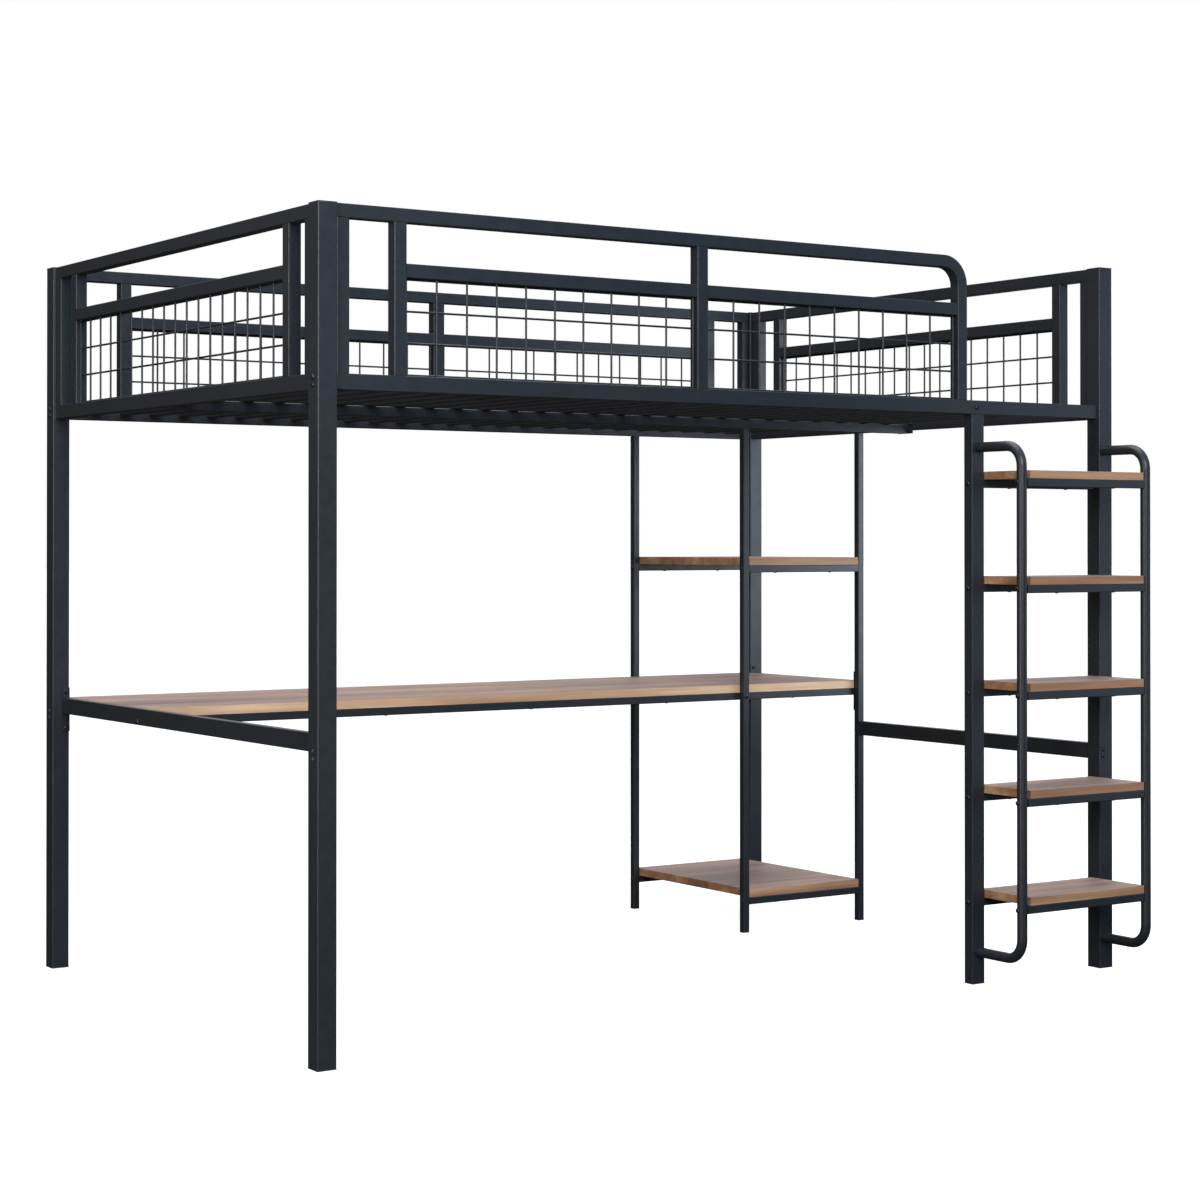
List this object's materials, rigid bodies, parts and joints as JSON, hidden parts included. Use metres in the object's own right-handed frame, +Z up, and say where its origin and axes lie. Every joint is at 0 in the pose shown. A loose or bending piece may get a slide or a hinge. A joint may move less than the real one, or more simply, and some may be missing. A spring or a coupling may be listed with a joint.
{
  "type": "loft bed with desk",
  "caption": "Loft bed frame of square steel tube with wire mesh guards, a slatted base, a full length desk with open shelves below and a step ladder with round tube handles.",
  "frame": {"origin": "on the floor, in the middle of the whole object's bounding box", "axes": "+X along the bed towards the ladder end, +Y from the ladder side to the desk side, +Z up"},
  "size_m": [2.292, 1.691, 1.8],
  "materials": {
    "frame_metal": "satin dark powder coat",
    "board_wood": "matt rustic oak",
    "bolt_metal": "dark zinc",
    "black_plastic": "matt"
  },
  "bodies": {
    "root": {"board_screws": "bolt_metal", "bracket_bolts": "bolt_metal", "centre_beam": "frame_metal", "desk_back_rail": "frame_metal", "desk_end_rail_left": "frame_metal", "desk_end_rail_right": "frame_metal", "desk_front_rail": "frame_metal", "desk_top": "board_wood", "end_rail_left": "frame_metal", "end_rail_right": "frame_metal", "feet": "black_plastic", "frame_bolts": "bolt_metal", "guard_back": "frame_metal", "guard_front": "frame_metal", "guard_left": "frame_metal", "guard_right": "frame_metal", "hole_plugs": "black_plastic", "ladder_bolts": "bolt_metal", "ladder_handle_left": "frame_metal", "ladder_handle_right": "frame_metal", "ladder_head_rail": "frame_metal", "ladder_post": "frame_metal", "low_end_rail": "frame_metal", "mesh_back": "frame_metal", "mesh_front": "frame_metal", "mesh_left": "frame_metal", "mesh_right": "frame_metal", "post_back_left": "frame_metal", "post_back_right": "frame_metal", "post_caps": "black_plastic", "post_front_left": "frame_metal", "post_front_right": "frame_metal", "rail_plugs": "frame_metal", "shelf_board_bottom": "board_wood", "shelf_board_middle": "board_wood", "shelf_bolts": "bolt_metal", "shelf_post_back": "frame_metal", "shelf_post_front_left": "frame_metal", "shelf_post_front_right": "frame_metal", "shelf_rail_bottom_back": "frame_metal", "shelf_rail_bottom_front": "frame_metal", "shelf_rail_middle_back": "frame_metal", "shelf_rail_middle_front": "frame_metal", "side_rail_back": "frame_metal", "side_rail_front": "frame_metal", "slats_centre_left": "frame_metal", "slats_centre_right": "frame_metal", "slats_left": "frame_metal", "slats_right": "frame_metal", "step_board_1": "board_wood", "step_board_2": "board_wood", "step_board_3": "board_wood", "step_board_4": "board_wood", "step_board_5": "board_wood", "step_rails_1": "frame_metal", "step_rails_2": "frame_metal", "step_rails_3": "frame_metal", "step_rails_4": "frame_metal", "step_rails_5": "frame_metal"}
  },
  "joints": []
}
